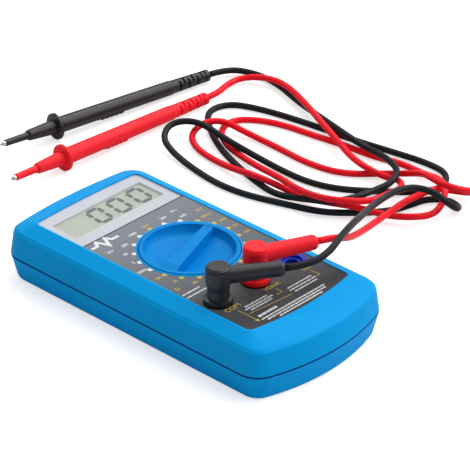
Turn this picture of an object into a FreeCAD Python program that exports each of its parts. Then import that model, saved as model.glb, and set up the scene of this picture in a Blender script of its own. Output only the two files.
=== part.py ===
import FreeCAD, Part
import os
from math import acos, cos, degrees, hypot, pi, radians, sin, sqrt, tan

# Digital multimeter with a pair of test leads. Millimetres. The origin is the
# middle of the case's underside: +Y points to the display end, +Z up.

# --- driving dimensions -------------------------------------------------------
case_half_width = 33.9
case_half_length = 67.65
socket_end_radius = 84.0
display_end_radius = 197.0
case_corner = 9.0
parting_z = 10.2
shoulder_z = 19.7
shoulder_inset = 1.3
bottom_inset = 2.25
wall = 2.0
groove = 0.4

panel_z = 22.9
panel_half_width = 26.35
panel_low_y = -54.4
panel_high_y = 56.8
panel_low_radius = 122.0
panel_high_radius = 400.0
panel_corner = 3.0
lip = 0.55
label_depth = 0.8
label_thickness = 0.5
display_line_y = 31.5
ceiling_z = 20.4
lip_ring_radius = 19.4
lip_ring_top = 22.75
silver_top = 22.2
window_bottom = 22.3

lcd_low_y = 37.5
lcd_high_y = 50.4
lcd_half_width = 22.35
lcd_top = 21.4
lcd_thickness = 2.2

dial_y = 2.4
dial_radius = 18.5
dial_clearance = 0.3
dial_top = 23.1
bowl_radius = 16.9
bowl_step_radius = 15.5
bowl_step_z = 20.3
bowl_floor = 18.8
bar_top = 24.0
pointer_angle = 72.0
knob_bottom = 14.2
flange_radius = 20.0

socket_x = {"com": -19.0, "vohm": 0.0, "10a": 19.0}
socket_y = -29.9
jack_radius = 2.8
jack_bore = 2.0
jack_bottom = 3.6
jack_top = 20.3
collar_radius = 5.5
collar_top = 22.75

plug_bottom = 23.0
plug_top = 37.2
arm_z = 33.0
arm_length = 23.4
pin_radius = 1.95
pin_bottom = 5.6
plug_places = {"black": ("com", -33.5), "red": ("vohm", -22.3)}

board_z = 11.0
board_thickness = 1.6
board_half_width = 28.0
board_low_y = -32.0
board_high_y = 54.8

battery_low_x = -26.0
battery_length = 45.5
battery_low_y = -59.2
battery_width = 26.2
battery_z = 2.1
battery_height = 17.3
door_thickness = 1.8
door_low_x = -28.0
door_high_x = 27.0
door_low_y = -59.5
door_hinge_y = -34.6

cord_radius = 1.3
probe_length = 104.0
probe_guard_radius = 5.4
probe_guard_start = 26.0

case_screw_places = [(-27.0, 58.0), (27.0, 58.0), (-27.0, -14.0), (27.0, -14.0)]
board_screw_places = [(-25.5, 28.0), (25.5, 28.0), (-16.5, -21.5), (16.5, -21.5)]

# Where each probe lies: its tip and the end of its boot.
probe_ends = {
    "black": ((26.2, 130.8, 6.35), (128.5, 117.4, 3.0)),
    "red": ((6.0, 107.9, 6.35), (113.5, 103.9, 3.0)),
}

# The cords' routes, from the plug's arm to the probe's boot.
black_route = [
    (0.58, -42.86, 33), (7.58, -47.5, 33), (17, -49, 34.5), (26, -46, 35.5),
    (40, -39.5, 32.5), (54.5, -32, 27.5), (69, -24.5, 22.3), (83.5, -18.5, 17.8),
    (94, -15.5, 15), (102, -17, 13.6), (106, -23, 12), (108, -28, 8.6),
    (112.5, -29.5, 4.4), (118, -26, 1.9), (119.5, -18.5, 1.4), (114.5, -12.5, 1.3),
    (106.5, -11, 1.3), (98, -8.5, 1.3), (89.5, -1.5, 1.3), (79.5, 9.5, 1.3), (74.5, 24, 1.3), (69.5, 39, 1.3), (68, 53, 1.3),
    (70, 68, 1.3), (73, 82.5, 2), (76.5, 92, 4), (85.5, 96, 6), (92.5, 87.5, 7),
    (91, 72, 5.4), (92.5, 58.5, 2.8), (93, 44, 1.3), (93, 29.5, 1.3), (97, 17, 1.3),
    (106, 5, 1.3), (115, -5.5, 1.3), (125, -12, 1.3), (135.5, -6, 1.3), (136.5, 6, 1.3),
    (134, 21, 1.3), (131, 37, 1.3), (129.3, 54, 1.3), (127, 71, 1.3), (124, 85, 1.3),
    (119, 96, 1.3), (109, 98, 1.3), (100.5, 90, 1.3), (91, 76, 1.3), (85, 62, 1.3),
    (80, 46, 1.3), (76.5, 31, 1.8), (78, 18, 4.6), (80, 6, 7), (88, 0.5, 7.8),
    (100, 2, 5.2), (108, 0, 5.8), (116.5, 3, 7), (122.5, 15, 6), (125, 28, 4.4),
    (126.5, 40, 5.4), (133.5, 59, 3), (139.5, 76.5, 1.3), (145.5, 93.5, 1.3),
    (146, 106.5, 1.3), (139, 116.02, 2.66), (128.5, 117.4, 3),
]
red_route = [
    (21.72, -38.81, 33), (28.7, -41.67, 33), (39.5, -38.5, 26.5), (56.5, -30.5, 19),
    (76, -22, 12.5), (91.5, -16, 8), (101.5, -13, 6), (111, -12.5, 4.8), (118.5, -13, 4.4),
    (124, -15.5, 2.6), (127, -20.5, 2.2), (126.5, -27, 4.8), (121.5, -30, 8.6),
    (115.5, -27.5, 11), (113, -21, 11.8), (115.5, -13, 10.9), (119, -6, 8.4),
    (119.8, 2, 4.7), (118, 12.5, 1.4), (107, 23.5, 1.4),
    (104, 39, 1.3), (105.5, 57, 1.3), (105, 74, 2), (102.5, 83, 4.8), (96.5, 88.3, 4.6),
    (88.5, 88, 2.4), (83, 80.5, 1.6), (81, 70, 1.3), (79.5, 57, 2.2), (78, 43, 5.2),
    (80.5, 32.5, 3.4), (82.5, 21, 1.6), (84, 9, 3.8), (87, -1, 4.8), (93, -11, 2.4),
    (95.5, -20, 4.2), (103.5, -24.5, 3.4), (110.5, -23.5, 4.4), (117, -20, 7.2), (123.5, -12, 6.3),
    (128.5, 0.5, 1.6), (129.3, 13, 1.3), (126, 24, 1.3), (125, 39, 1.3), (122.6, 53, 1.3),
    (121, 67, 1.3), (117, 78, 1.3), (110, 85.5, 1.3), (100, 83, 1.3), (93, 73, 1.3),
    (90.5, 62.5, 1.3), (86, 49, 3.4), (80.5, 33, 7.2), (77.5, 20, 7.8), (77, 7, 9.4),
    (83, -2.5, 9.4), (92, -4.5, 6.8), (100.5, -4.5, 6), (109, -5, 5.4), (115.5, 1.5, 3.8),
    (114.2, 9, 3), (112.5, 17, 4.8), (116, 27.5, 4), (122, 40, 4.4), (127.5, 54, 5.6),
    (137, 72, 4.8), (143, 88, 4.6), (143.2, 100, 3), (137.5, 107.3, 2), (128.5, 106.6, 2.3),
    (120.5, 103.64, 2.8), (113.56, 103.9, 3),
]

V = FreeCAD.Vector
up = V(0, 0, 1)


# --- helpers ------------------------------------------------------------------
def save(shape, name):
    shape.exportStep(os.path.join("parts", name + ".step"))


def group(shapes):
    return Part.Compound(shapes)


def cylinder(radius, z_low, z_high, x=0.0, y=0.0):
    return Part.makeCylinder(radius, z_high - z_low, V(x, y, z_low), up)


def box(x0, x1, y0, y1, z0, z1):
    return Part.makeBox(x1 - x0, y1 - y0, z1 - z0, V(x0, y0, z0))


def rounded_box(x0, x1, y0, y1, z0, z1, radius, direction):
    """A box with its four edges along one direction rounded."""
    block = box(x0, x1, y0, y1, z0, z1)
    edges = [e for e in block.Edges if abs(e.tangentAt(e.FirstParameter).dot(direction)) > 0.9]
    return block.makeFillet(radius, edges)


def revolved(profile):
    """Solid of revolution about X from (along, radius) corner points."""
    corners = [V(s, r, 0) for s, r in profile]
    corners = [V(profile[0][0], 0, 0)] + corners + [V(profile[-1][0], 0, 0)]
    face = Part.Face(Part.makePolygon(corners + [corners[0]]))
    return face.revolve(V(0, 0, 0), V(1, 0, 0), 360)


def case_frame(inset=0.0):
    """Plan sizes of the case, set in all round by one amount."""
    return [
        case_half_width - inset, -case_half_length + inset, case_half_length - inset,
        socket_end_radius - inset, display_end_radius - inset, case_corner - inset,
    ]


def panel_frame(inset=0.0):
    """Plan sizes of the front panel, set in all round by one amount."""
    return [
        panel_half_width - inset, panel_low_y + inset, panel_high_y - inset,
        panel_low_radius - inset, panel_high_radius - inset, panel_corner - inset,
    ]


def between(first, second, share):
    return [a + (b - a) * share for a, b in zip(first, second)]


def outline(frame, z):
    """Straight sides, a shallow arc across each end and rounded corners."""
    half, y_low, y_high, r_low, r_high, corner = frame
    edges = []
    ends = []
    for y_end, r_end, sign in ((y_high, r_high, 1), (y_low, r_low, -1)):
        centre_y = sign * y_end - r_end
        corner_x = half - corner
        corner_y = centre_y + sqrt((r_end - corner) ** 2 - corner_x**2)
        out = V(corner_x, corner_y - centre_y, 0).normalize()
        middle = (V(1, 0, 0) + out).normalize()
        on_side = V(half, sign * corner_y, z)
        bend = V(corner_x + corner * middle.x, sign * (corner_y + corner * middle.y), z)
        on_end = V(r_end * out.x, sign * (centre_y + r_end * out.y), z)
        apex = V(0, y_end, z)
        ends.append((on_side, bend, on_end, apex))

    def mirrored(p):
        return V(-p.x, p.y, p.z)

    (side_h, bend_h, end_h, apex_h), (side_l, bend_l, end_l, apex_l) = ends
    edges.append(Part.LineSegment(side_l, side_h).toShape())
    edges.append(Part.Arc(side_h, bend_h, end_h).toShape())
    edges.append(Part.Arc(end_h, apex_h, mirrored(end_h)).toShape())
    edges.append(Part.Arc(mirrored(end_h), mirrored(bend_h), mirrored(side_h)).toShape())
    edges.append(Part.LineSegment(mirrored(side_h), mirrored(side_l)).toShape())
    edges.append(Part.Arc(mirrored(side_l), mirrored(bend_l), mirrored(end_l)).toShape())
    edges.append(Part.Arc(mirrored(end_l), apex_l, end_l).toShape())
    edges.append(Part.Arc(end_l, bend_l, side_l).toShape())
    return Part.Wire(edges)


def stacked(levels):
    """Solid through outlines given as (frame, height)."""
    return Part.makeLoft([outline(frame, z) for frame, z in levels], True, True)


def slab(frame, z_low, z_high):
    return Part.Face(outline(frame, z_low)).extrude(V(0, 0, z_high - z_low))


# --- case ---------------------------------------------------------------------
def front_case():
    shoulder = case_frame(shoulder_inset)
    panel = panel_frame()
    body = stacked([
        (case_frame(groove), parting_z),
        (case_frame(0.0), parting_z + groove),
        (case_frame(shoulder_inset - 0.15), shoulder_z - 1.4),
        (case_frame(shoulder_inset + 0.1), shoulder_z - 0.55),
        (between(case_frame(shoulder_inset + 0.55), panel, 0.02), shoulder_z + 0.0),
        (between(shoulder, panel, 0.16), shoulder_z + 0.5),
        (between(shoulder, panel, 0.96), panel_z - 0.12),
        (panel, panel_z),
    ])
    body = body.cut(stacked([
        (case_frame(wall), parting_z - 0.01),
        (case_frame(wall + shoulder_inset), shoulder_z - 2.2),
        (panel_frame(1.0), ceiling_z),
    ]))
    body = body.cut(slab(panel_frame(lip), panel_z - label_depth, panel_z + 1))
    body = body.cut(box(-24.2, 24.2, 34.0, 54.5, ceiling_z - 1, panel_z))
    body = body.fuse(cylinder(lip_ring_radius, panel_z - label_depth, lip_ring_top, 0, dial_y))
    body = body.cut(cylinder(dial_radius + dial_clearance, ceiling_z - 1, panel_z, 0, dial_y))
    for x in socket_x.values():
        body = body.cut(cylinder(collar_radius, ceiling_z - 1, panel_z, x, socket_y))
    ring = cylinder(21.6, knob_bottom, ceiling_z, 0, dial_y)
    ring = ring.cut(cylinder(20.3, knob_bottom, ceiling_z, 0, dial_y))
    for step in range(20):
        angle = radians(18 * step)
        x = 20.3 * sin(angle)
        y = dial_y + 20.3 * cos(angle)
        ring = ring.cut(cylinder(0.6, knob_bottom, knob_bottom + 3.6, x, y))
    body = body.fuse(ring)
    for x, y in case_screw_places:
        boss = cylinder(2.6, parting_z, ceiling_z, x, y).cut(cylinder(1.1, parting_z, 16.5, x, y))
        body = body.fuse(boss.common(stacked([
            (case_frame(0.5), parting_z),
            (case_frame(shoulder_inset + 0.5), shoulder_z - 2.2),
            (panel_frame(0.0), ceiling_z),
        ])))
    for x, y in board_screw_places:
        post = cylinder(2.4, board_z + board_thickness, ceiling_z, x, y)
        body = body.fuse(post.cut(cylinder(0.9, board_z + board_thickness, 17.5, x, y)))
    clearance = 0.25
    battery_room = box(
        battery_low_x - clearance, 28.0, battery_low_y - clearance,
        battery_low_y + battery_width + clearance, parting_z, battery_z + battery_height + clearance,
    )
    body = body.cut(battery_room)
    return body.removeSplitter()


def rear_case():
    body = stacked([
        (case_frame(bottom_inset + 1.15), 0.0),
        (case_frame(bottom_inset + 0.35), 0.45),
        (case_frame(bottom_inset - 0.25), 1.5),
        (case_frame(0.0), parting_z - groove),
        (case_frame(groove), parting_z),
    ])
    body = body.cut(stacked([
        (case_frame(bottom_inset + wall - 0.3), wall),
        (case_frame(wall), parting_z + 0.01),
    ]))
    body = body.cut(box(door_low_x - 0.3, door_high_x + 0.3, door_low_y - 0.3,
                        door_hinge_y + 1.2, -1, wall + 0.5))
    body = body.cut(box(-4.3, 4.3, -64.0, door_low_y, -1, door_thickness))
    boss = cylinder(2.6, door_thickness, 8.0, 0, -61.9)
    body = body.fuse(boss.common(slab(case_frame(2.6), 0, parting_z)))
    body = body.cut(cylinder(1.6, 0.0, 6.4, 0, -61.9))
    for x, y in case_screw_places:
        boss = cylinder(3.1, wall, parting_z, x, y).common(slab(case_frame(bottom_inset), 0, parting_z))
        body = body.fuse(boss)
        body = body.cut(cylinder(2.3, -1, 2.2, x, y))
        body = body.cut(cylinder(1.1, 0, parting_z, x, y))
    return body.removeSplitter()


def case_screws():
    screws = []
    for x, y in case_screw_places:
        head = cylinder(2.1, 0.4, 2.2, x, y)
        head = head.cut(box(x - 1.4, x + 1.4, y - 0.25, y + 0.25, 0, 1.2))
        head = head.cut(box(x - 0.25, x + 0.25, y - 1.4, y + 1.4, 0, 1.2))
        screws.append(head.fuse(cylinder(1.1, 2.2, 16.0, x, y)).removeSplitter())
    return group(screws)


# --- panel and display --------------------------------------------------------
def panel_label():
    plate = slab(panel_frame(lip), panel_z - label_depth, panel_z - label_depth + label_thickness)
    plate = plate.common(box(-40, 40, -70, display_line_y - 0.3, 0, 40))
    plate = plate.cut(cylinder(lip_ring_radius, 0, 40, 0, dial_y))
    for x in socket_x.values():
        plate = plate.cut(cylinder(collar_radius, 0, 40, x, socket_y))
    return plate


def display_window():
    plate = slab(panel_frame(lip), window_bottom, panel_z - label_depth + label_thickness)
    return plate.common(box(-40, 40, display_line_y, 70, 0, 40))


def lcd_bezel():
    """Silver frame: a thin flange over the pocket and a rim down to the glass."""
    flange = slab(panel_frame(lip), panel_z - label_depth, silver_top)
    flange = flange.common(box(-40, 40, display_line_y, 70, 0, 40))
    frame = flange.fuse(box(-24.0, 24.0, 34.2, 54.3, lcd_top, silver_top))
    opening = box(-lcd_half_width, lcd_half_width, lcd_low_y, lcd_high_y, 20, 23)
    return frame.cut(opening).removeSplitter()


def lcd_glass():
    return box(-24.0, 24.0, 35.4, 53.0, lcd_top - lcd_thickness, lcd_top)


def lcd_connector():
    top = lcd_top - lcd_thickness
    return box(-22.0, 22.0, 35.6, 37.8, board_z + board_thickness, top)


# --- selector knob ------------------------------------------------------------
def rotary_knob():
    body = cylinder(dial_radius, knob_bottom, dial_top)
    body = body.makeFillet(0.5, [e for e in body.Edges if e.BoundBox.ZMin > dial_top - 0.01])
    body = body.fuse(cylinder(flange_radius, 18.2, 20.1))
    floor_bend = V(bowl_step_radius * 0.55, 0, bowl_floor + 0.45)
    step = V(bowl_step_radius, 0, bowl_step_z)
    top = V(bowl_radius, 0, dial_top + 0.01)
    middle = V(0, 0, bowl_floor)
    section = Part.Wire([
        Part.Arc(top, V(bowl_radius - 0.55, 0, dial_top - 1.6), step).toShape(),
        Part.Arc(step, floor_bend, middle).toShape(),
        Part.LineSegment(middle, V(0, 0, top.z)).toShape(),
        Part.LineSegment(V(0, 0, top.z), top).toShape(),
    ])
    body = body.cut(Part.Face(section).revolve(V(0, 0, 0), up, 360))
    side = [
        V(0, -17.5, 17.5), V(0, -17.5, dial_top - 0.1), V(0, -14.0, bar_top),
        V(0, 15.2, bar_top), V(0, 16.4, dial_top), V(0, 16.4, 17.5),
    ]
    bar = Part.Face(Part.makePolygon(side + [side[0]])).extrude(V(8, 0, 0))
    bar.translate(V(-4, 0, 0))
    plan = [V(-3.2, -18, 16), V(3.2, -18, 16), V(1.8, 17, 16), V(-1.8, 17, 16)]
    taper = Part.Face(Part.makePolygon(plan + [plan[0]])).extrude(V(0, 0, 10))
    bar = bar.common(taper)
    top_edges = [e for e in bar.Edges if e.BoundBox.ZMax > dial_top and e.BoundBox.YLength > 1]
    bar = bar.makeFillet(0.4, top_edges)
    body = body.fuse(bar)
    body = body.fuse(cylinder(2.5, 10.4, knob_bottom))
    for side_sign in (1, -1):
        pocket = Part.makeCylinder(1.6, 9.0, V(side_sign * 10.9, 0, 16.2), V(side_sign, 0, 0))
        body = body.cut(pocket)
    return placed_on_dial(body.removeSplitter())


def placed_on_dial(shape):
    """Turn a knob piece drawn with its pointer along +Y to where it rests."""
    shape.rotate(V(0, 0, 0), up, -pointer_angle)
    shape.translate(V(0, dial_y, 0))
    return shape


def knob_rotor():
    disc = cylinder(14.5, 13.5, knob_bottom).cut(cylinder(2.5, 13, 15))
    return placed_on_dial(disc)


def knob_wipers():
    wipers = []
    for radius in (6.0, 9.0, 12.0):
        leaf = box(-2.4, 2.4, radius - 0.5, radius + 0.5, 13.2, 13.5)
        for x in (-1.9, 1.9):
            leaf = leaf.fuse(box(x - 0.5, x + 0.5, radius - 0.5, radius + 0.5, 12.66, 13.2))
        wipers.append(leaf.removeSplitter())
    return placed_on_dial(group(wipers))


def detent_balls():
    return placed_on_dial(group([Part.makeSphere(1.5, V(s * 18.4, 0, 16.2)) for s in (1, -1)]))


def detent_springs():
    springs = []
    for s in (1, -1):
        coil = Part.makeCylinder(1.3, 5.8, V(s * 11.0, 0, 16.2), V(s, 0, 0))
        springs.append(coil.cut(Part.makeCylinder(0.9, 5.8, V(s * 11.0, 0, 16.2), V(s, 0, 0))))
    return placed_on_dial(group(springs))


# --- sockets ------------------------------------------------------------------
def socket_jack(x):
    jack = cylinder(jack_radius, jack_bottom, jack_top, x, socket_y)
    return jack.cut(cylinder(jack_bore, jack_bottom + 1.4, 30, x, socket_y))


def socket_collar(x):
    collar = cylinder(collar_radius, jack_top, collar_top, x, socket_y)
    collar = collar.cut(cylinder(2.5, jack_top, 30, x, socket_y))
    return collar.cut(cylinder(3.9, collar_top - 0.9, 30, x, socket_y))


# --- electronics --------------------------------------------------------------
def circuit_board():
    top = board_z + board_thickness
    board = box(-board_half_width, board_half_width, board_low_y, board_high_y, board_z, top)
    board = board.cut(cylinder(2.8, 0, 30, 0, dial_y))
    for x in socket_x.values():
        board = board.cut(cylinder(jack_radius + 0.1, 0, 30, x, socket_y))
    for x, y in case_screw_places:
        board = board.cut(cylinder(3.3, 0, 30, x, y))
        board = board.cut(box(min(x, 30 * x / abs(x)), max(x, 30 * x / abs(x)), y - 3.3, y + 3.3, 0, 30))
    for x, y in board_screw_places:
        board = board.cut(cylinder(0.9, 0, 30, x, y))
    return board


def board_screws():
    screws = []
    for x, y in board_screw_places:
        head = cylinder(1.9, board_z - 1.2, board_z, x, y)
        head = head.cut(box(x - 1.2, x + 1.2, y - 0.2, y + 0.2, 0, board_z - 0.7))
        screws.append(head.fuse(cylinder(0.9, board_z, 17.0, x, y)).removeSplitter())
    return group(screws)


fuse_y = -23.3
fuse_z = 15.7


def fuse():
    ends = []
    for s in (-1, 1):
        ends.append(Part.makeCylinder(2.6, 5.0, V(s * 10.0 - (5 if s > 0 else 0), fuse_y, fuse_z), V(1, 0, 0)))
    tube = Part.makeCylinder(2.4, 10.0, V(-5, fuse_y, fuse_z), V(1, 0, 0))
    return tube.fuse(ends).removeSplitter()


def fuse_clips():
    clips = []
    for s in (-1, 1):
        x = s * 7.5
        clip = box(x - 1.5, x + 1.5, fuse_y - 3.1, fuse_y + 3.1, board_z + board_thickness, fuse_z + 2.0)
        clip = clip.cut(Part.makeCylinder(2.6, 4, V(x - 2, fuse_y, fuse_z), V(1, 0, 0)))
        clip = clip.cut(box(x - 2, x + 2, fuse_y - 1.9, fuse_y + 1.9, fuse_z, fuse_z + 4))
        clips.append(clip)
    return group(clips)


def bent_wire(points, radius):
    """Tube along straight runs joined by the largest tangent arcs they allow."""
    pts = [V(*p) for p in points]
    edges = []
    length = 0.0
    start = pts[0]
    bends = []
    for before, here, after in zip(pts, pts[1:], pts[2:]):
        back = (before - here)
        ahead = (after - here)
        shorter = min(back.Length, ahead.Length)
        back.normalize()
        ahead.normalize()
        turn = pi - acos(max(-1.0, min(1.0, back.dot(ahead))))
        reach = 0.45 * shorter
        bend_radius = reach / tan(turn / 2)
        bends.append(bend_radius)
        first = here + back * reach
        last = here + ahead * reach
        centre = here + (back + ahead).normalize() * hypot(reach, bend_radius)
        middle = centre + (here - centre).normalize() * bend_radius
        edges.append(Part.LineSegment(start, first).toShape())
        edges.append(Part.Arc(first, middle, last).toShape())
        length += (first - start).Length + bend_radius * turn
        start = last
    edges.append(Part.LineSegment(start, pts[-1]).toShape())
    length += (pts[-1] - start).Length
    ring = Part.Wire(Part.makeCircle(radius, pts[0], pts[1] - pts[0]))
    tube = Part.Wire(edges).makePipeShell([ring], True, False)
    return tube, length, bends


def shunt_wire():
    arch = [(3, -18, board_z), (3, -18, 6.2), (7.5, -18, 4.0), (12, -18, 6.2), (12, -18, board_z)]
    return bent_wire(arch, 0.75)[0]


def chip_blob():
    cap = Part.makeSphere(14.0, V(0, 42, board_z + 11.6))
    return cap.common(box(-20, 20, 20, 60, 0, board_z))


def trim_pot():
    body = box(14.7, 21.3, 24.7, 31.3, 6.6, board_z)
    return body.fuse(cylinder(2.2, 5.6, 6.6, 18, 28)).removeSplitter()


def board_components():
    pieces = []
    for row in range(8):
        y = -8.0 + 5.2 * row
        pieces.append(Part.makeCylinder(1.1, 6.2, V(-22.5, y, board_z - 1.1), V(1, 0, 0)))
    for x, y in ((-12, 30), (-4, 30), (6, 30)):
        pieces.append(box(x - 2.2, x + 2.2, y - 1.2, y + 1.2, board_z - 4.6, board_z))
    return group(pieces)


# --- battery ------------------------------------------------------------------
battery_high_x = battery_low_x + battery_length
battery_mid_y = battery_low_y + battery_width / 2
battery_mid_z = battery_z + battery_height / 2
terminal_offset = 6.35


def battery():
    block = rounded_box(
        battery_low_x, battery_high_x, battery_low_y, battery_low_y + battery_width,
        battery_z, battery_z + battery_height, 2.6, V(1, 0, 0),
    )
    for s, radius in ((-1, 3.9), (1, 2.8)):
        centre = V(battery_high_x, battery_mid_y + s * terminal_offset, battery_mid_z)
        block = block.fuse(Part.makeCylinder(radius, 2.9, centre, V(1, 0, 0)))
    return block.removeSplitter()


def battery_snap():
    x = battery_high_x + 0.2
    plate = rounded_box(
        x, x + 4.6, battery_mid_y - 11.5, battery_mid_y + 11.5,
        battery_mid_z - 5.2, battery_mid_z + 5.2, 2.5, V(1, 0, 0),
    )
    for s, radius in ((-1, 3.95), (1, 2.85)):
        centre = V(x, battery_mid_y + s * terminal_offset, battery_mid_z)
        plate = plate.cut(Part.makeCylinder(radius, 2.9, centre, V(1, 0, 0)))
    return plate


def battery_wires():
    """Two wires that leave the snap square to its face and rise to the board."""
    x = battery_high_x + 4.8
    z = battery_mid_z - 2.5
    wires = []
    for step in (0.0, 1.8):
        y = battery_mid_y + 5.5 + step
        end_x = x - 0.4 - step
        end_y = battery_mid_y + 16.0 + step
        route = [
            (x, y, z), (x + 2.0, y, z), (x + 2.2 - 0.5 * step, y + 4.0, z - 1.6),
            (x + 0.6 - step, end_y - 2.8, z - 1.0), (end_x, end_y, board_z - 2.6),
            (end_x, end_y, board_z),
        ]
        wires.append(bent_wire(route, 0.5)[0])
    return group(wires)


def battery_door():
    panel = box(door_low_x, door_high_x, door_low_y, door_hinge_y, 0.0, door_thickness)
    roll_radius = door_thickness / 2
    roll = Part.makeCylinder(
        roll_radius, door_high_x - door_low_x, V(door_low_x, door_hinge_y, roll_radius), V(1, 0, 0)
    )
    tongue = box(-4.0, 4.0, -63.7, door_low_y, 0.0, door_thickness - 0.3)
    door = panel.fuse([roll, tongue])
    for row in range(5):
        y = -54.0 + 2.4 * row
        door = door.cut(box(-9.0, 9.0, y, y + 1.1, -0.1, 0.4))
    door = door.cut(cylinder(1.0, -1, 5, 0, -61.9))
    door = door.cut(cylinder(1.75, -1, 0.85, 0, -61.9))
    return door.removeSplitter()


def battery_door_screw():
    head = cylinder(1.6, 0.1, 0.85, 0, -61.9)
    head = head.cut(box(-1.1, 1.1, -62.1, -61.7, 0, 0.5))
    return head.fuse(cylinder(1.0, 0.85, 5.0, 0, -61.9)).removeSplitter()


# --- test leads ---------------------------------------------------------------
def plug_housing(colour):
    socket, angle = plug_places[colour]
    profile = [
        (plug_bottom, 5.15), (plug_bottom + 1.5, 5.15), (plug_bottom + 1.7, 4.0),
        (28.2, 3.95), (30.6, 4.5), (plug_top - 2.4, 4.65), (plug_top - 1.3, 4.6),
        (plug_top - 1.25, 4.3), (plug_top - 0.5, 4.3), (plug_top, 3.7),
    ]
    body = revolved(profile)
    body.rotate(V(0, 0, 0), V(0, 1, 0), -90)
    arm = revolved([(0.5, 3.35), (arm_length - 1.0, 2.8), (arm_length, 2.3)])
    arm.translate(V(0, 0, arm_z))
    body = body.fuse(arm)
    body = body.cut(cylinder(pin_radius, 0, 27.0))
    body.rotate(V(0, 0, 0), up, angle)
    body.translate(V(socket_x[socket], socket_y, 0))
    return body.removeSplitter()


def plug_pin(colour):
    x = socket_x[plug_places[colour][0]]
    pin = cylinder(pin_radius, pin_bottom, 27.0, x, socket_y)
    return pin.makeChamfer(0.5, [e for e in pin.Edges if e.BoundBox.ZMax < pin_bottom + 0.01])


def along_probe(shape, colour):
    """Move a piece drawn along +X, tip at the origin, to where the probe lies."""
    tip, end = (V(*p) for p in probe_ends[colour])
    direction = (end - tip).normalize()
    start = end - direction * probe_length
    shape.Placement = FreeCAD.Placement(start, FreeCAD.Rotation(V(1, 0, 0), direction))
    return shape


def probe_tip(colour):
    return along_probe(revolved([(0.0, 0.12), (1.6, 1.0), (20.0, 1.0)]), colour)


def probe_sleeve(colour):
    sleeve = revolved([(2.6, 1.35), (13.4, 1.5)]).cut(Part.makeCylinder(1.0, 30, V(0, 0, 0), V(1, 0, 0)))
    return along_probe(sleeve, colour)


def probe_handle(colour):
    guard_start = probe_guard_start
    guard_end = probe_guard_start + 1.9
    body = revolved([
        (13.4, 2.0), (13.9, 2.2), (guard_start, 2.95), (guard_start + 0.2, 5.1),
        (guard_start + 0.5, probe_guard_radius), (guard_end - 0.5, probe_guard_radius),
        (guard_end - 0.2, 5.1), (guard_end, 3.1), (guard_end + 2.1, 3.3), (62.0, 3.15),
        (84.6, 3.0), (85.4, 2.8),
    ])
    body = body.cut(Part.makeCylinder(1.0, 20.0, V(0, 0, 0), V(1, 0, 0)))
    return along_probe(body.removeSplitter(), colour)


def probe_boot(colour):
    profile = [(85.4, 2.75), (88.6, 2.75)]
    for rib in range(6):
        s = 88.6 + 2.2 * rib
        profile += [(s + 0.1, 2.05), (s + 0.9, 2.05), (s + 1.0, 2.7 - 0.05 * rib), (s + 2.2, 2.7 - 0.05 * rib)]
    profile += [(102.0, 2.1), (102.6, 2.1), (102.7, 2.45), (probe_length, 2.35)]
    return along_probe(revolved(profile), colour)


def lead_cord(colour, route):
    tube, length, bends = bent_wire(route, cord_radius)
    section = pi * cord_radius**2
    print(colour, "cord: length", round(length, 1), "mm, volume over section x length",
          round(tube.Volume / (section * length), 4))
    print(colour, "cord: bend radii", [round(b, 1) for b in bends])
    return tube


def main():
    os.makedirs("parts", exist_ok=True)
    save(front_case(), "front_case")
    save(rear_case(), "rear_case")
    save(case_screws(), "case_screws")
    save(panel_label(), "panel_label")
    save(display_window(), "display_window")
    save(lcd_bezel(), "lcd_bezel")
    save(lcd_glass(), "lcd_glass")
    save(lcd_connector(), "lcd_connector")
    save(rotary_knob(), "rotary_knob")
    save(knob_rotor(), "knob_rotor")
    save(knob_wipers(), "knob_wipers")
    save(detent_balls(), "detent_balls")
    save(detent_springs(), "detent_springs")
    for name, x in socket_x.items():
        save(socket_jack(x), "socket_" + name)
        save(socket_collar(x), "socket_collar_" + name)
    save(circuit_board(), "circuit_board")
    save(board_screws(), "board_screws")
    save(fuse(), "fuse")
    save(fuse_clips(), "fuse_clips")
    save(shunt_wire(), "shunt_wire")
    save(chip_blob(), "chip_blob")
    save(trim_pot(), "trim_pot")
    save(board_components(), "board_components")
    save(battery(), "battery")
    save(battery_snap(), "battery_snap")
    save(battery_wires(), "battery_wires")
    save(battery_door(), "battery_door")
    save(battery_door_screw(), "battery_door_screw")
    for colour, route in (("black", black_route), ("red", red_route)):
        save(plug_housing(colour), colour + "_plug_housing")
        save(plug_pin(colour), colour + "_plug_pin")
        save(lead_cord(colour, route), colour + "_lead_cord")
        save(probe_tip(colour), colour + "_probe_tip")
        save(probe_sleeve(colour), colour + "_probe_sleeve")
        save(probe_handle(colour), colour + "_probe_handle")
        save(probe_boot(colour), colour + "_probe_boot")


main()
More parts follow.
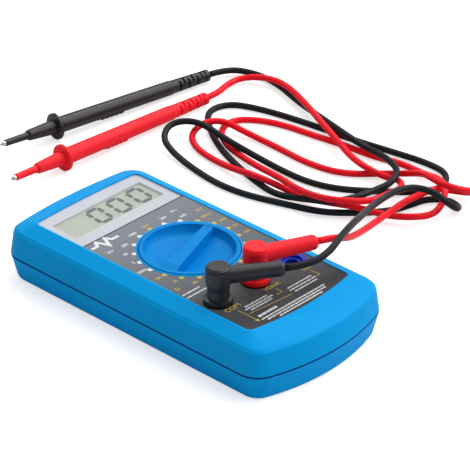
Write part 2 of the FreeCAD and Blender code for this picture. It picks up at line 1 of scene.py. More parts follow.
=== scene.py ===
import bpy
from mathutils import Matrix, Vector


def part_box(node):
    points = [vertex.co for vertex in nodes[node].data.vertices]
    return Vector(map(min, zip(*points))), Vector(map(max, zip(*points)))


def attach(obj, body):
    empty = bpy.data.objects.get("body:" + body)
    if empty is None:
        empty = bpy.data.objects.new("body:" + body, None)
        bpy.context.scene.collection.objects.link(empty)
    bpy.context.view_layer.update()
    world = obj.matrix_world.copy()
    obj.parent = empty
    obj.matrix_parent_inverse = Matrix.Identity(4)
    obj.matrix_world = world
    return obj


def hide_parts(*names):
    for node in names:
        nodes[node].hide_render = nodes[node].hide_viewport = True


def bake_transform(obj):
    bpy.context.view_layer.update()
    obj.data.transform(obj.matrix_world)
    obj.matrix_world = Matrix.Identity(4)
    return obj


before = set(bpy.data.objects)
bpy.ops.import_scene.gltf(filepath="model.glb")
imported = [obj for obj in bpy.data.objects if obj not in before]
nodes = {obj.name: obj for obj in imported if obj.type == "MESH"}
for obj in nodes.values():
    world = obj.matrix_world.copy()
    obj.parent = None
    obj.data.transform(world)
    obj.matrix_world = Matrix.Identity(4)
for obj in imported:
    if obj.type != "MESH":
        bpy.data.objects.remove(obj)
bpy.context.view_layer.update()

from math import cos, pi, radians, sin

import bmesh
import bpy
from mathutils import Matrix, Vector

MM = 0.001

# --- places worked out from the frame ----------------------------------------
label_low, label_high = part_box("panel_label")
knob_low, knob_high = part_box("rotary_knob")
glass_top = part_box("lcd_glass")[1].z
panel_top = label_high.z
dial = Vector(((knob_low.x + knob_high.x) / 2, (knob_low.y + knob_high.y) / 2, panel_top))

# --- sizes that the frame does not give ---------------------------------------
ink = 0.03 * MM                  # thickness of the printed marks
pointer_turn = 72                # clockwise from +Y round the dial, in degrees
parting_z = 10.2 * MM            # height of the line where the two shells meet
cord_radius = 1.3 * MM

# The routes of the two cords in mm, the same points as their tubes have.
black_route = [
    (0.58, -42.86, 33), (7.58, -47.5, 33), (17, -49, 34.5), (26, -46, 35.5),
    (40, -39.5, 32.5), (54.5, -32, 27.5), (69, -24.5, 22.3), (83.5, -18.5, 17.8),
    (94, -15.5, 15), (102, -17, 13.6), (106, -23, 12), (108, -28, 8.6),
    (112.5, -29.5, 4.4), (118, -26, 1.9), (119.5, -18.5, 1.4), (114.5, -12.5, 1.3),
    (106.5, -11, 1.3), (98, -8.5, 1.3), (89.5, -1.5, 1.3), (79.5, 9.5, 1.3),
    (74.5, 24, 1.3), (69.5, 39, 1.3), (68, 53, 1.3),
    (70, 68, 1.3), (73, 82.5, 2), (76.5, 92, 4), (85.5, 96, 6), (92.5, 87.5, 7),
    (91, 72, 5.4), (92.5, 58.5, 2.8), (93, 44, 1.3), (93, 29.5, 1.3), (97, 17, 1.3),
    (106, 5, 1.3), (115, -5.5, 1.3), (125, -12, 1.3), (135.5, -6, 1.3), (136.5, 6, 1.3),
    (134, 21, 1.3), (131, 37, 1.3), (129.3, 54, 1.3), (127, 71, 1.3), (124, 85, 1.3),
    (119, 96, 1.3), (109, 98, 1.3), (100.5, 90, 1.3), (91, 76, 1.3), (85, 62, 1.3),
    (80, 46, 1.3), (76.5, 31, 1.8), (78, 18, 4.6), (80, 6, 7), (88, 0.5, 7.8),
    (100, 2, 5.2), (108, 0, 5.8), (116.5, 3, 7), (122.5, 15, 6), (125, 28, 4.4),
    (126.5, 40, 5.4), (133.5, 59, 3), (139.5, 76.5, 1.3), (145.5, 93.5, 1.3),
    (146, 106.5, 1.3), (139, 116.02, 2.66), (128.5, 117.4, 3),
]
red_route = [
    (21.72, -38.81, 33), (28.7, -41.67, 33), (39.5, -38.5, 26.5), (56.5, -30.5, 19),
    (76, -22, 12.5), (91.5, -16, 8), (101.5, -13, 6), (111, -12.5, 4.8), (118.5, -13, 4.4),
    (124, -15.5, 2.6), (127, -20.5, 2.2), (126.5, -27, 4.8), (121.5, -30, 8.6),
    (115.5, -27.5, 11), (113, -21, 11.8), (115.5, -13, 10.9), (119, -6, 8.4),
    (119.8, 2, 4.7), (118, 12.5, 1.4), (107, 23.5, 1.4),
    (104, 39, 1.3), (105.5, 57, 1.3), (105, 74, 2), (102.5, 83, 4.8), (96.5, 88.3, 4.6),
    (88.5, 88, 2.4), (83, 80.5, 1.6), (81, 70, 1.3), (79.5, 57, 2.2), (78, 43, 5.2),
    (80.5, 32.5, 3.4), (82.5, 21, 1.6), (84, 9, 3.8), (87, -1, 4.8), (93, -11, 2.4),
    (95.5, -20, 4.2), (103.5, -24.5, 3.4), (110.5, -23.5, 4.4), (117, -20, 7.2), (123.5, -12, 6.3),
    (128.5, 0.5, 1.6), (129.3, 13, 1.3), (126, 24, 1.3), (125, 39, 1.3), (122.6, 53, 1.3),
    (121, 67, 1.3), (117, 78, 1.3), (110, 85.5, 1.3), (100, 83, 1.3), (93, 73, 1.3),
    (90.5, 62.5, 1.3), (86, 49, 3.4), (80.5, 33, 7.2), (77.5, 20, 7.8), (77, 7, 9.4),
    (83, -2.5, 9.4), (92, -4.5, 6.8), (100.5, -4.5, 6), (109, -5, 5.4), (115.5, 1.5, 3.8),
    (114.2, 9, 3), (112.5, 17, 4.8), (116, 27.5, 4), (122, 40, 4.4), (127.5, 54, 5.6),
    (137, 72, 4.8), (143, 88, 4.6), (143.2, 100, 3), (137.5, 107.3, 2), (128.5, 106.6, 2.3),
    (120.5, 103.64, 2.8), (113.56, 103.9, 3),
]


# --- materials ----------------------------------------------------------------
def linear(red, green, blue):
    """Linear colour from screen values of 0 to 255."""
    def channel(value):
        share = value / 255
        return share / 12.92 if share <= 0.04045 else ((share + 0.055) / 1.055) ** 2.4
    return (channel(red), channel(green), channel(blue), 1.0)


def shifted(colour, share):
    return tuple(min(1.0, c * share) for c in colour[:3]) + (1.0,)


class Shader:
    """A material with one Principled shader and nodes added by name."""

    def __init__(self, name):
        self.material = bpy.data.materials.new(name)
        self.material.use_nodes = True
        self.tree = self.material.node_tree
        self.bsdf = self.tree.nodes["Principled BSDF"]
        self.place = self.tree.nodes.new("ShaderNodeTexCoord").outputs["Object"]

    def set(self, **values):
        for name, value in values.items():
            self.bsdf.inputs[name.replace("_", " ")].default_value = value

    def link(self, output, node_input):
        self.tree.links.new(output, node_input)

    def noise(self, scale, detail, roughness=0.5):
        node = self.tree.nodes.new("ShaderNodeTexNoise")
        node.inputs["Scale"].default_value = scale
        node.inputs["Detail"].default_value = detail
        node.inputs["Roughness"].default_value = roughness
        self.link(self.place, node.inputs["Vector"])
        return node.outputs["Fac"]

    def spread(self, value, low, high, start=0.3, end=0.7):
        """Map start to end onto low to high; noise mostly lies within 0.3 to 0.7."""
        node = self.tree.nodes.new("ShaderNodeMapRange")
        node.inputs["From Min"].default_value = start
        node.inputs["From Max"].default_value = end
        node.inputs["To Min"].default_value = low
        node.inputs["To Max"].default_value = high
        self.link(value, node.inputs["Value"])
        return node.outputs["Result"]

    def along(self, axis):
        """The surface point's place along X, Y or Z."""
        split = self.tree.nodes.new("ShaderNodeSeparateXYZ")
        self.link(self.place, split.inputs[0])
        return split.outputs[axis]

    def height_from(self, level):
        """Distance above or below a level."""
        output = self.along("Z")
        for operation in ("SUBTRACT", "ABSOLUTE"):
            node = self.tree.nodes.new("ShaderNodeMath")
            node.operation = operation
            node.inputs[1].default_value = level
            self.link(output, node.inputs[0])
            output = node.outputs[0]
        return output

    def mixed(self, value, first, second):
        node = self.tree.nodes.new("ShaderNodeMix")
        node.data_type = "RGBA"
        self.link(value, node.inputs["Factor"])
        for socket, colour in ((node.inputs["A"], first), (node.inputs["B"], second)):
            if isinstance(colour, bpy.types.NodeSocket):
                self.link(colour, socket)
            else:
                socket.default_value = colour
        return node.outputs["Result"]

    def colour(self, output):
        self.link(output, self.bsdf.inputs["Base Color"])

    def rough(self, value, low, high):
        self.link(self.spread(value, low, high), self.bsdf.inputs["Roughness"])

    def bump(self, height, distance):
        node = self.tree.nodes.new("ShaderNodeBump")
        node.inputs["Strength"].default_value = 1.0
        node.inputs["Distance"].default_value = distance
        self.link(height, node.inputs["Height"])
        self.link(node.outputs["Normal"], self.bsdf.inputs["Normal"])


def plastic(name, colour, roughness, grain, depth, tint, specular=0.5, painted_seam_shade=False):
    """Moulded plastic: eroded grain, faint flow marks and handling haze.

    grain and depth are in mm. The seam flag paints shade into the groove where the two shells
    meet, as a dark blue band at the parting line.
    """
    shader = Shader(name)
    shader.set(Specular_IOR_Level=specular)
    cloud = shader.spread(shader.noise(55, 4), 0, 1)
    base = shader.mixed(cloud, shifted(colour, 1 - tint), shifted(colour, 1 + tint))
    # Painted shade: a dark blue band along the parting groove, standing for the shade between the
    # two shells.
    if painted_seam_shade:
        away = shader.height_from(parting_z)
        clear = shader.spread(away, 0, 1, 0.2 * MM, 0.45 * MM)
        base = shader.mixed(clear, linear(0, 44, 112), base)
    shader.colour(base)
    shader.rough(shader.noise(130, 5, 0.6), roughness - 0.05, roughness + 0.06)
    shader.bump(shader.noise(1 / (grain * MM), 2, 0.6), depth * MM)
    return shader.material


def metal(name, colour, roughness):
    """Plated or drawn metal with fine streaks."""
    brushed = 600
    shader = Shader(name)
    shader.set(Metallic=1.0)
    shader.colour(shader.mixed(shader.noise(90, 3), shifted(colour, 0.88), shifted(colour, 1.05)))
    shader.rough(shader.noise(brushed, 4), roughness - 0.06, roughness + 0.08)
    shader.bump(shader.noise(brushed * 3, 2), 0.01 * MM)
    return shader.material


def panel_film():
    """Label film whose colour grades along Y, dark by the sockets and lighter toward the display.
    """
    shader = Shader("panel_film")
    shader.set(Specular_IOR_Level=0.2)
    share = shader.spread(shader.along("Y"), 0, 1, label_low.y + 4 * MM, label_high.y)
    base = shader.mixed(share, linear(48, 50, 53), linear(120, 126, 136))
    fleck = shader.spread(shader.noise(2600, 2), 0, 0.05)
    shader.colour(shader.mixed(fleck, base, linear(190, 192, 196)))
    shader.rough(shader.noise(240, 4), 0.42, 0.56)
    shader.bump(shader.noise(3800, 2), 0.012 * MM)
    return shader.material


def ink_colour(name, colour):
    """Screen-printed ink, slightly uneven."""
    shader = Shader(name)
    shader.set(Specular_IOR_Level=0.25)
    shader.colour(shader.mixed(shader.noise(900, 3), shifted(colour, 0.86), colour))
    shader.rough(shader.noise(700, 3), 0.45, 0.6)
    shader.bump(shader.noise(5000, 2), 0.006 * MM)
    return shader.material


def clear_plastic():
    """Thin clear window: a faint film with a clean gloss."""
    shader = Shader("clear_window")
    shader.set(Alpha=0.1, Specular_IOR_Level=0.5)
    shader.colour(shader.mixed(shader.noise(70, 2), linear(226, 230, 232), linear(244, 246, 246)))
    shader.rough(shader.noise(180, 3), 0.03, 0.08)
    shader.bump(shader.noise(300, 2), 0.004 * MM)
    return shader.material


def lcd_cell():
    """Liquid crystal cell: grey-green reflector with fine grain and faint clouds."""
    shader = Shader("lcd_cell")
    shader.set(Specular_IOR_Level=0.35)
    grain = shader.mixed(shader.noise(2200, 3), linear(160, 168, 150), linear(176, 182, 165))
    cloud = shader.spread(shader.noise(60, 2), 0, 0.5)
    shader.colour(shader.mixed(cloud, grain, linear(180, 186, 170)))
    shader.rough(shader.noise(300, 3), 0.3, 0.42)
    shader.bump(shader.noise(4200, 2), 0.006 * MM)
    return shader.material


looks = {
    "shell": plastic("blue_abs", linear(0, 156, 226), 0.45, 0.32, 0.01, 0.03, 0.05, True),
    "rear": plastic("blue_abs_rear", linear(0, 160, 234), 0.46, 0.32, 0.012, 0.03, 0.05, True),
    "knob": plastic("blue_knob", linear(0, 132, 208), 0.36, 0.3, 0.006, 0.03, 0.06),
    "panel": panel_film(),
    "white": ink_colour("white_ink", linear(226, 228, 230)),
    "yellow": ink_colour("yellow_ink", linear(204, 176, 74)),
    "ring": ink_colour("pointer_ring", linear(30, 96, 164)),
    "segments": ink_colour("lcd_segments", linear(44, 50, 50)),
    "silver": plastic("silver_paint", linear(196, 197, 207), 0.4, 0.2, 0.004, 0.03, 0.3),
    "window": clear_plastic(),
    "lcd": lcd_cell(),
    "black": plastic("black_pvc", linear(32, 33, 37), 0.33, 0.26, 0.008, 0.1, 0.42),
    "red": plastic("red_pvc", linear(254, 34, 48), 0.4, 0.26, 0.01, 0.04, 0.16),
    "black_cord": plastic("black_cord_pvc", linear(30, 33, 37), 0.3, 0.5, 0.012, 0.1, 0.12),
    "red_cord": plastic("red_cord_pvc", linear(246, 20, 38), 0.3, 0.5, 0.012, 0.04, 0.14),
    "collar": plastic("black_collar", linear(14, 14, 16), 0.35, 0.3, 0.01, 0.1, 0.25),
    # The 10A collar's blue is darkened with painted shade, the shadow of the plug and lead above
    # it.
    "blue_collar": plastic("collar_blue_painted_shade", linear(8, 44, 180), 0.32, 0.3, 0.01, 0.06, 0.25),
    "steel": metal("bright_steel", linear(196, 196, 200), 0.25),
    "nickel": metal("nickel", linear(222, 220, 214), 0.16),
    "brass": metal("brass", linear(206, 176, 108), 0.25),
    "board": plastic("solder_mask", linear(22, 92, 52), 0.3, 0.4, 0.02, 0.15),
    "epoxy": plastic("epoxy", linear(18, 18, 20), 0.2, 0.6, 0.02, 0.1),
    "buff": plastic("lacquer", linear(196, 168, 120), 0.35, 0.4, 0.02, 0.2),
    "nylon": plastic("nylon", linear(220, 218, 208), 0.45, 0.4, 0.02, 0.05),
    "jacket": plastic("battery_jacket", linear(60, 62, 66), 0.3, 0.8, 0.02, 0.2),
}

node_looks = {
    "front_case": "shell", "rear_case": "rear", "battery_door": "rear", "case_screws": "steel",
    "battery_door_screw": "steel", "board_screws": "steel", "panel_label": "panel",
    "display_window": "window", "lcd_bezel": "silver", "lcd_glass": "lcd",
    "lcd_connector": "epoxy", "rotary_knob": "knob", "knob_rotor": "nylon",
    "knob_wipers": "brass", "detent_balls": "steel", "detent_springs": "steel",
    "socket_com": "brass", "socket_vohm": "brass", "socket_10a": "brass",
    "socket_collar_com": "collar", "socket_collar_vohm": "collar",
    "socket_collar_10a": "blue_collar", "circuit_board": "board", "fuse": "steel",
    "fuse_clips": "brass", "shunt_wire": "brass", "chip_blob": "epoxy", "trim_pot": "buff",
    "board_components": "buff", "battery": "jacket", "battery_snap": "epoxy",
    "battery_wires": "red",
}
for shade in ("black", "red"):
    for piece in ("plug_housing", "probe_handle", "probe_boot", "probe_sleeve"):
        node_looks[f"{shade}_{piece}"] = shade
    node_looks[f"{shade}_lead_cord"] = f"{shade}_cord"
    node_looks[f"{shade}_plug_pin"] = "nickel"
    node_looks[f"{shade}_probe_tip"] = "nickel"


def dress_nodes():
    """Give every CAD node its material."""
    for name, look in node_looks.items():
        mesh = nodes[name].data
        mesh.materials.clear()
        mesh.materials.append(looks[look])


# --- mesh helpers -------------------------------------------------------------
def finished_mesh(build, name):
    mesh = bpy.data.meshes.new(name)
    build.to_mesh(mesh)
    build.free()
    return mesh


def new_object(name, mesh, look):
    mesh.materials.clear()
    mesh.materials.append(looks[look])
    piece = bpy.data.objects.new(name, mesh)
    bpy.context.scene.collection.objects.link(piece)
    return piece


def flat_piece(name, outlines, look, z, body="meter"):
    """Thin printed shapes from closed outlines of (x, y) in metres."""
    build = bmesh.new()
    for points in outlines:
        low = [build.verts.new((x, y, z)) for x, y in points]
        face = build.faces.new(low)
        if face.normal.z < 0:
            face.normal_flip()
        top = bmesh.ops.extrude_face_region(build, geom=[face])["geom"]
        verts = [g for g in top if isinstance(g, bmesh.types.BMVert)]
        bmesh.ops.translate(build, verts=verts, vec=(0, 0, ink))
    bmesh.ops.recalc_face_normals(build, faces=build.faces)
    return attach(new_object(name, finished_mesh(build, name), look), body)


size_per_height = 1.35           # font size over the height of its capitals
letter_boldness = 0.03 * MM


def text_piece(name, entries, look, z):
    """One mesh for several short texts: (text, x, y, height), in mm."""
    build = bmesh.new()
    for text, x, y, height in entries:
        curve = bpy.data.curves.new(name, "FONT")
        curve.body = text
        curve.align_x = "CENTER"
        curve.align_y = "CENTER"
        curve.size = height * MM * size_per_height
        curve.extrude = ink / 2
        curve.offset = letter_boldness
        holder = bpy.data.objects.new(name, curve)
        mesh = bpy.data.meshes.new_from_object(holder)
        mesh.transform(Matrix.Translation((x * MM, y * MM, z + ink / 2)))
        build.from_mesh(mesh)
        bpy.data.objects.remove(holder)
    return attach(new_object(name, finished_mesh(build, name), look), "meter")


def bar(x0, x1, y, thick):
    """Outline of a level bar, from sizes in mm."""
    return [(x0 * MM, (y - thick / 2) * MM), (x1 * MM, (y - thick / 2) * MM),
            (x1 * MM, (y + thick / 2) * MM), (x0 * MM, (y + thick / 2) * MM)]


def stroke(points, thick):
    """Outline of a line through (x, y) points in mm, mitred at its corners."""
    left = []
    right = []
    for i, (x, y) in enumerate(points):
        ahead = Vector(points[min(i + 1, len(points) - 1)]) - Vector((x, y))
        back = Vector((x, y)) - Vector(points[max(i - 1, 0)])
        ahead = ahead if ahead.length else back
        back = back if back.length else ahead
        middle = (ahead.normalized() + back.normalized()).normalized()
        side = Vector((-middle.y, middle.x)) * thick / 2 / max(0.4, middle.dot(ahead.normalized()))
        left.append(((x + side.x) * MM, (y + side.y) * MM))
        right.append(((x - side.x) * MM, (y - side.y) * MM))
    return left + right[::-1]


def small_print(x0, x1, y, height):
    """A line of plain dashes that stands for small print, between x0 and x1 in mm."""
    shortest = 0.5
    varying = 0.9
    gap = 0.28
    stagger = 0.06
    dashes = []
    x = x0
    count = 0
    while x < x1:
        length = shortest + varying * ((count * 7 + int(10 * abs(y))) % 5) / 5
        dashes.append(bar(x, min(x + length, x1), y + stagger * (count % 2), height))
        x += length + gap
        count += 1
    return dashes


# --- markings -----------------------------------------------------------------
def on_dial(angle, radius):
    """Point at a clockwise angle in degrees from +Y round the dial, in mm."""
    turn = radians(angle)
    return (dial.x / MM + radius * sin(turn), dial.y / MM + radius * cos(turn))


def dial_mark(angle):
    """Half-moon mark with its flat side to the knob."""
    turn = radians(angle)
    out = Vector((sin(turn), cos(turn)))
    side = Vector((cos(turn), -sin(turn)))
    flat_radius = 19.55 * MM
    half_width = 1.05 * MM
    height = 1.6 * MM
    centre = Vector((dial.x, dial.y)) + out * flat_radius
    points = []
    for step in range(9):
        swing = pi * step / 8
        point = centre + side * half_width * cos(swing) + out * height * sin(swing)
        points.append((point.x, point.y))
    return points


def markings():
    z = panel_top
    white_angles = (18, 36, -18, -36, -54, -72, -90)
    yellow_angles = (0, 54, 72, 90, 108, 126, 144, 162, 180, -162, -144, -126, -108)
    flat_piece("dial_marks_white", [dial_mark(a) for a in white_angles], "white", z)
    flat_piece("dial_marks_yellow", [dial_mark(a) for a in yellow_angles], "yellow", z)
    white_words = [
        ("200", 9.0, 24.6), ("600", 15.3, 20.6), ("1000", -7.2, 24.4), ("200", -14.4, 20.9),
        ("20", -18.6, 16.3), ("2", -20.9, 10.0), ("200m", -22.7, 3.7),
    ]
    yellow_words = [
        ("OFF", 0.2, 25.0), ("200m", 20.9, 14.7), ("20m", 23.2, 8.2), ("2m", 23.4, 2.1),
        ("10A", 22.9, -4.1), ("200", -22.2, -3.9), ("2k", -19.7, -9.5),
        ("20k", -15.4, -15.2), ("200k", -9.0, -19.6), ("200", 15.2, -15.4), ("2M", 7.6, -20.0),
    ]
    entries = [(word, x, y, 1.5) for word, x, y in white_words]
    entries.append(("V~", 15.4, 25.5, 1.9))
    entries.append(("V=", -21.2, 21.3, 1.9))
    text_piece("dial_words_white", entries, "white", z)
    entries = [(word, x, y, 1.45) for word, x, y in yellow_words]
    entries.append(("A=", 22.6, 19.6, 1.9))
    entries.append(("Ω", -23.0, -14.0, 1.9))
    entries.append(("COM", -18.7, -36.5, 2.3))
    entries.append(("VΩmA", 1.2, -36.6, 2.0))
    entries.append(("10A", 18.6, -37.1, 2.0))
    text_piece("panel_words_yellow", entries, "yellow", z)
    arrow = [(-19.3, -47.6), (-17.7, -47.6), (-18.5, -49.4)]
    lines = [
        stroke([(-18.6, -38.7), (-18.5, -47.8)], 0.28),
        stroke([(-17.6, -43.3), (2.4, -45.2)], 0.26),
        stroke([(1.2, -38.7), (1.2, -41.6), (-1.6, -41.6)], 0.26),
        stroke([(18.6, -38.9), (19.0, -43.2), (17.4, -43.4)], 0.26),
        [(x * MM, y * MM) for x, y in arrow],
    ]
    flat_piece("panel_lines", lines, "yellow", z)
    print_lines = []
    for x0, x1, y in (
        (-15.4, -4.0, -39.3), (-16.6, -2.6, -40.7), (-15.2, -4.6, -42.1), (4.0, 16.4, -41.6),
        (3.4, 16.8, -43.2), (4.4, 16.0, -44.8), (-17.2, 15.0, -49.0), (-15.6, 14.4, -50.4),
        (-11.0, 11.0, -51.8), (-24.8, -16.4, -18.3), (-24.8, -15.4, -20.6),
    ):
        print_lines += small_print(x0, x1, y, 0.75)
    print_lines += small_print(-16.6, -7.4, -46.9, 1.25)
    flat_piece("panel_small_print", print_lines, "white", z)
    # Dark strip along the label's top edge: painted shade of the gap between the label and the
    # display window.
    edge = label_high.y / MM - 0.25
    across = [stroke([(label_low.x / MM + 0.2, edge), (label_high.x / MM - 0.2, edge)], 0.5)]
    flat_piece("label_gap_painted_shade", across, "segments", z)
    wave = [(-24.6, 27.4), (-21.8, 27.4), (-20.2, 30.0), (-18.0, 25.0), (-15.9, 30.0),
            (-14.4, 27.4), (-11.2, 27.4)]
    flat_piece("panel_wave_sign", [stroke(wave, 1.3)], "white", z)
    pointer = on_dial(pointer_turn, 14.3)
    halves = ring_halves(*pointer, 1.15, 0.75, 0.3, -pointer_turn)
    flat_piece("pointer_ring", halves, "ring", knob_high.z, "knob")


def ring_halves(x, y, half_length, half_width, thick, turn):
    """Two C-shaped outlines that make an oval ring, long along its own Y."""
    spin = Matrix.Rotation(radians(turn), 2)
    halves = []
    for start in (0.0, pi):
        outline = []
        for inset, steps in ((0.0, range(13)), (thick, range(12, -1, -1))):
            for step in steps:
                swing = start + pi * step / 12
                across = (half_width - inset) * cos(swing)
                along = (half_length - inset) * sin(swing)
                point = spin @ Vector((across, along))
                outline.append(((x + point.x) * MM, (y + point.y) * MM))
        halves.append(outline)
    return halves


def seven_segments(x, y, width, height, thick, lean):
    """The seven bars of one digit, an outline for each name, from sizes in mm."""
    half = thick / 2
    gap = 0.2
    middle = y + height / 2

    def across(level):
        first = x + gap
        last = x + width - gap
        return [(first, level), (first + half, level + half), (last - half, level + half),
                (last, level), (last - half, level - half), (first + half, level - half)]

    def upright(place, low, high):
        first = low + gap
        last = high - gap
        return [(place, first), (place + half, first + half), (place + half, last - half),
                (place, last), (place - half, last - half), (place - half, first + half)]

    bars = {
        "top": across(y + height), "middle": across(middle), "bottom": across(y),
        "top_left": upright(x, middle, y + height), "low_left": upright(x, y, middle),
        "top_right": upright(x + width, middle, y + height),
        "low_right": upright(x + width, y, middle),
    }
    leaning = {}
    for name, points in bars.items():
        shape = []
        for px, py in points:
            shape.append(((px + lean * (py - y)) * MM, py * MM))
        leaning[name] = shape
    return leaning


def display():
    """Three noughts on the display."""
    dark = []
    for x in (-7.4, 2.8, 13.0):
        bars = seven_segments(x, y=39.7, width=5.6, height=9.4, thick=1.75, lean=0.08)
        bars.pop("middle")
        dark += list(bars.values())
    flat_piece("lcd_digits", dark, "segments", glass_top)


# --- cords --------------------------------------------------------------------
def route_path(route):
    """Points along the spline whose control points are the route's."""
    curve = bpy.data.curves.new("line", "CURVE")
    curve.dimensions = "3D"
    curve.resolution_u = 7
    spline = curve.splines.new("NURBS")
    spline.points.add(len(route) - 1)
    for point, place in zip(spline.points, route):
        point.co = (place[0] * MM, place[1] * MM, place[2] * MM, 1)
    spline.order_u = 3
    spline.use_endpoint_u = True
    line = bpy.data.objects.new("line", curve)
    path = [v.co.copy() for v in bpy.data.meshes.new_from_object(line).vertices]
    bpy.data.objects.remove(line)
    return path


def skin(build, rings, smooth=True):
    """Faces between neighbouring closed rings of points, and a cap on each end."""
    loops = [[build.verts.new(point) for point in ring] for ring in rings]
    count = len(loops[0])
    for here, ahead in zip(loops, loops[1:]):
        for i in range(count):
            j = (i + 1) % count
            build.faces.new((here[i], here[j], ahead[j], ahead[i])).smooth = smooth
    build.faces.new(loops[0][::-1])
    build.faces.new(loops[-1])
    bmesh.ops.recalc_face_normals(build, faces=build.faces)


def tube_mesh(name, path, radius):
    """Tube whose rings turn as little as possible from one point to the next."""
    sides = 16
    turns = [2 * pi * k / sides for k in range(sides)]
    rings = []
    side = None
    for i, here in enumerate(path):
        ahead = path[min(i + 1, len(path) - 1)]
        back = path[max(i - 1, 0)]
        along = (ahead - back).normalized()
        side = side or along.orthogonal()
        side = (side - along * side.dot(along)).normalized()
        other = along.cross(side)
        rings.append([here + (side * cos(t) + other * sin(t)) * radius for t in turns])
    build = bmesh.new()
    skin(build, rings)
    return finished_mesh(build, name)


# Where each probe lies, in mm: its tip and the end of its boot.
probe_ends = {
    "black": ((26.2, 130.8, 6.35), (128.5, 117.4, 3.0)),
    "red": ((6.0, 107.9, 6.35), (113.5, 103.9, 3.0)),
}
# Distances from the probe's tip in mm.
boot_start = 85.4
boot_end = 104.0


def boot_radius(s, turn):
    """Radius of the boot in mm: rings joined by webs that change sides at each gap."""
    plain = 2.6
    pitch = 2.27
    gap = 0.9
    web_half_angle = 0.5
    if s < boot_start + plain:
        return 2.75
    if s > boot_end - 2.4:
        return 2.5 if s > boot_end - 1.9 else 2.05
    row, place = divmod(s - boot_start - plain, pitch)
    outer = 2.72 - 0.05 * row
    if place > gap:
        return outer
    web_turn = 0.0 if row % 2 else pi / 2
    away = abs((turn - web_turn + pi / 2) % pi - pi / 2)
    return outer if away < web_half_angle else 1.95


def probe_axes(shade):
    """The boot's end, and unit directions along, beside and below the probe."""
    tip, end = (Vector(place) for place in probe_ends[shade])
    along = (end - tip).normalized()
    side = along.cross(Vector((0, 0, 1))).normalized()
    return end, along, side, along.cross(side)


def probe_boot(shade):
    """Flexible boot on the probe's end, with gaps cut from alternate sides."""
    end, along, side, other = probe_axes(shade)
    steps = 124
    sides = 96
    turns = [2 * pi * k / sides for k in range(sides)]
    rings = []
    for i in range(steps + 1):
        s = boot_start + (boot_end - boot_start) * i / steps
        centre = end + along * (s - boot_end)
        rings.append([
            (centre + (side * cos(t) + other * sin(t)) * boot_radius(s, t)) * MM for t in turns
        ])
    build = bmesh.new()
    skin(build, rings, smooth=False)
    name = f"{shade}_boot_slots"
    boot = new_object(name, finished_mesh(build, name), shade)
    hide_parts(f"{shade}_probe_boot")
    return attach(boot, "meter")


def handle_relief(shade):
    """Moulded line and teeth on the lower side of the probe's handle.

    Each patch: start and end from the tip in mm, low and high turn in degrees, rise in mm.
    """
    end, along, side, other = probe_axes(shade)
    buried_radius = 2.9
    handle_radius = 3.24
    bevel = 0.1
    patches = [(29.5, 47.0, -14, -10, 0.12), (46.5, 47.1, -14, 52, 0.14)]
    patches += [(48.6 + 2.3 * k, 49.8 + 2.3 * k, 34, 70, 0.4) for k in range(5)]
    build = bmesh.new()
    for s_low, s_high, turn_low, turn_high, rise in patches:
        rings = []
        profile = ((s_low, 0.0), (s_low + bevel, rise), (s_high - bevel, rise), (s_high, 0.0))
        for s, top in profile:
            ring = []
            outer_radius = handle_radius + top
            for radius, steps in ((buried_radius, range(7)), (outer_radius, range(6, -1, -1))):
                for step in steps:
                    t = radians(turn_low + (turn_high - turn_low) * step / 6)
                    out = side * cos(t) + other * sin(t)
                    ring.append((end + along * (s - boot_end) + out * radius) * MM)
            rings.append(ring)
        skin(build, rings, smooth=False)
    name = f"{shade}_handle_relief"
    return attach(new_object(name, finished_mesh(build, name), shade), "meter")


def lead_cord(shade, route):
    """Cord jacket tube along its route in place of the CAD cord, with the probe's boot and handle
    relief.
    """
    path = route_path(route)
    name = f"{shade}_cord_jacket"
    piece = new_object(name, tube_mesh(name, path, cord_radius), f"{shade}_cord")
    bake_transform(piece)
    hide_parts(f"{shade}_lead_cord")
    on_cord = [
        nodes[f"{shade}_{part}"]
        for part in ("plug_housing", "plug_pin", "probe_handle", "probe_sleeve", "probe_tip")
    ]
    on_cord += [probe_boot(shade), handle_relief(shade)]


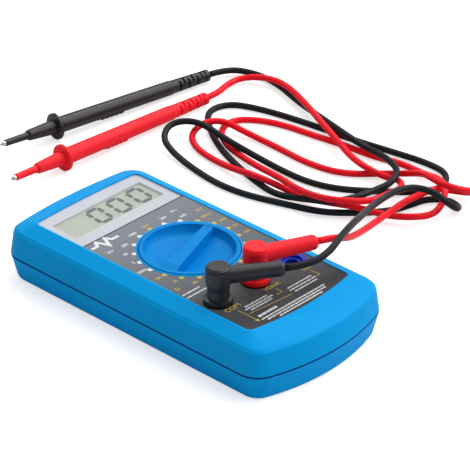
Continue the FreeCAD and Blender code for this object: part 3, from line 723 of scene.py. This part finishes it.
# --- stage, light and camera --------------------------------------------------
def stage():
    """White floor, even sky, a wide soft sun and a strip light.

    The floor glows for the camera only, so it looks white and throws no extra light back.
    """
    mesh = bpy.data.meshes.new("floor")
    corners = [(-4, -4, 0), (4, -4, 0), (4, 4, 0), (-4, 4, 0)]
    mesh.from_pydata(corners, [], [(0, 1, 2, 3)])
    shader = Shader("floor_white")
    cloud = shader.noise(3, 2)
    shader.colour(shader.mixed(cloud, (0.63, 0.63, 0.63, 1), (0.65, 0.65, 0.65, 1)))
    shader.set(Roughness=0.6, Specular_IOR_Level=0.1, Emission_Color=(1, 1, 1, 1))
    seen = shader.tree.nodes.new("ShaderNodeLightPath").outputs["Is Camera Ray"]
    glow = shader.spread(seen, 0, 0.6, 0, 1)
    shader.link(glow, shader.bsdf.inputs["Emission Strength"])
    looks["floor"] = shader.material
    floor = new_object("floor", mesh, "floor")
    floor.location.z = -0.05 * MM
    world = bpy.data.worlds.new("studio")
    world.use_nodes = True
    sky = world.node_tree.nodes["Background"].inputs
    sky["Color"].default_value = (1, 1, 1, 1)
    sky["Strength"].default_value = 0.48
    bpy.context.scene.world = world
    sun = bpy.data.lights.new("soft_sun", "SUN")
    sun.energy = 2.4
    sun.angle = radians(70)
    lamp = bpy.data.objects.new("soft_sun", sun)
    lamp.rotation_euler = (radians(15), radians(38), 0)
    bpy.context.scene.collection.objects.link(lamp)
    strip = bpy.data.lights.new("strip", "AREA")
    strip.shape = "RECTANGLE"
    strip.size = 0.9
    strip.size_y = 0.25
    strip.energy = 2
    holder = bpy.data.objects.new("strip", strip)
    holder.location = (0.35, 0.55, 0.7)
    aim = Vector((0.05, 0.0, 0.0)) - holder.location
    holder.rotation_euler = aim.to_track_quat("-Z", "Y").to_euler()
    bpy.context.scene.collection.objects.link(holder)
    bpy.context.scene.view_settings.view_transform = "Standard"


def camera():
    looking_down = 30.49
    lens = bpy.data.cameras.new("camera")
    lens.sensor_width = 36
    lens.lens = 229.8
    lens.clip_start = 0.05
    lens.clip_end = 20
    eye = bpy.data.objects.new("camera", lens)
    eye.location = (-0.66058, -0.64441, 0.57255)
    eye.rotation_euler = (radians(90 - looking_down), 0, radians(-46.61))
    bpy.context.scene.collection.objects.link(eye)
    bpy.context.scene.camera = eye


def main():
    dress_nodes()
    markings()
    display()
    lead_cord("black", black_route)
    lead_cord("red", red_route)
    stage()
    camera()


main()
